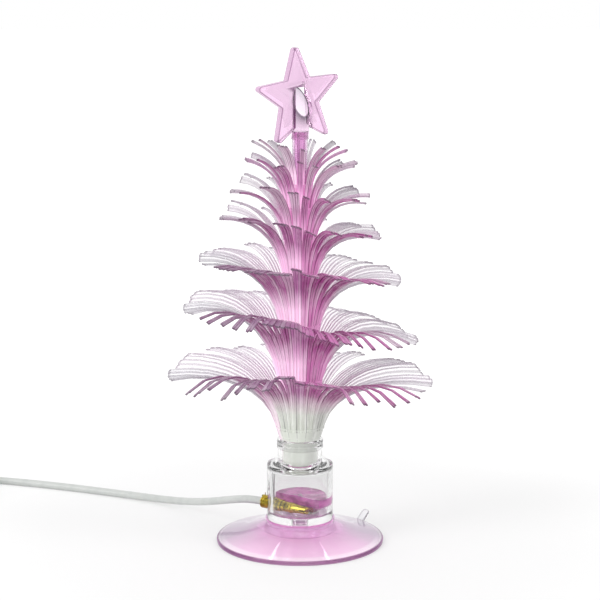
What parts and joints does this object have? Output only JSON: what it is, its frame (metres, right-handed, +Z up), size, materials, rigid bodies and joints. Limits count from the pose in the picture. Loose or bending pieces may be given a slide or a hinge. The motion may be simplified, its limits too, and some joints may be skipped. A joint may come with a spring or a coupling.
{
  "type": "fiber optic lamp",
  "caption": "Small tabletop tree lamp with tiers of moulded light fibres and a star, on a clear cup with a suction foot, with a coiled plug lead.",
  "frame": {"origin": "on the lamp's upright axis, in the plane of the foot's rim, where it rests on the table", "axes": "+Z up along the stem, -Y towards the side the lamp is seen from, the lead leaves on the -X and +Y side"},
  "size_m": [0.2242, 0.1092, 0.1767],
  "materials": {
    "pink_soft_plastic": "soft, clear, glossy",
    "clear_cup": "clear, glossy",
    "pink_resin": "cast, glossy",
    "board_white": "matt",
    "lamp_clear": "clear, glossy",
    "resistor_blue": "lacquered",
    "wire_red": "glossy",
    "brass": "turned, bright",
    "white_cord": "satin",
    "steel": "plated, satin",
    "tongue_white": "matt",
    "contact_gold": "plated",
    "light_guide": "frosted",
    "pink_tube": "clear, glossy",
    "fibre_pale": "clear, glossy",
    "fibre_pink": "clear, glossy",
    "clear_pink_star": "clear, glossy",
    "clear_socket": "clear, glossy"
  },
  "bodies": {
    "base": {"base_cup": "clear_cup", "potting_block": "pink_resin", "led_board": "board_white", "rgb_led": "lamp_clear", "resistor": "resistor_blue", "lead_wires": "wire_red", "lead_binding": "brass", "lead_ferrule": "brass", "lead_tip": "brass", "cord_run": "white_cord", "cord_coil": "white_cord", "plug_grip": "white_cord", "plug_shell": "steel", "plug_tongue": "tongue_white", "plug_contacts": "contact_gold"},
    "foot": {"suction_disc": "pink_soft_plastic"},
    "tree": {"light_stalk": "light_guide", "stem_tube": "pink_tube", "spray_1": "fibre_pale", "spray_2": "fibre_pink", "spray_3": "fibre_pink", "spray_4": "fibre_pink", "spray_5": "fibre_pink", "spray_6": "fibre_pink", "spray_7": "fibre_pink"},
    "topper": {"star": "clear_pink_star", "star_socket": "clear_socket"}
  },
  "joints": [
    {"name": "foot_turn", "type": "hinge", "parent": "base", "child": "foot", "pos_m": [0, 0, 0.008], "axis": [0, 0, 1], "continuous": true},
    {"name": "tree_turn", "type": "hinge", "parent": "base", "child": "tree", "pos_m": [0, 0, 0.038], "axis": [0, 0, 1], "continuous": true},
    {"name": "star_turn", "type": "hinge", "parent": "tree", "child": "topper", "pos_m": [0, 0, 0.1476], "axis": [0, 0, 1], "continuous": true}
  ]
}
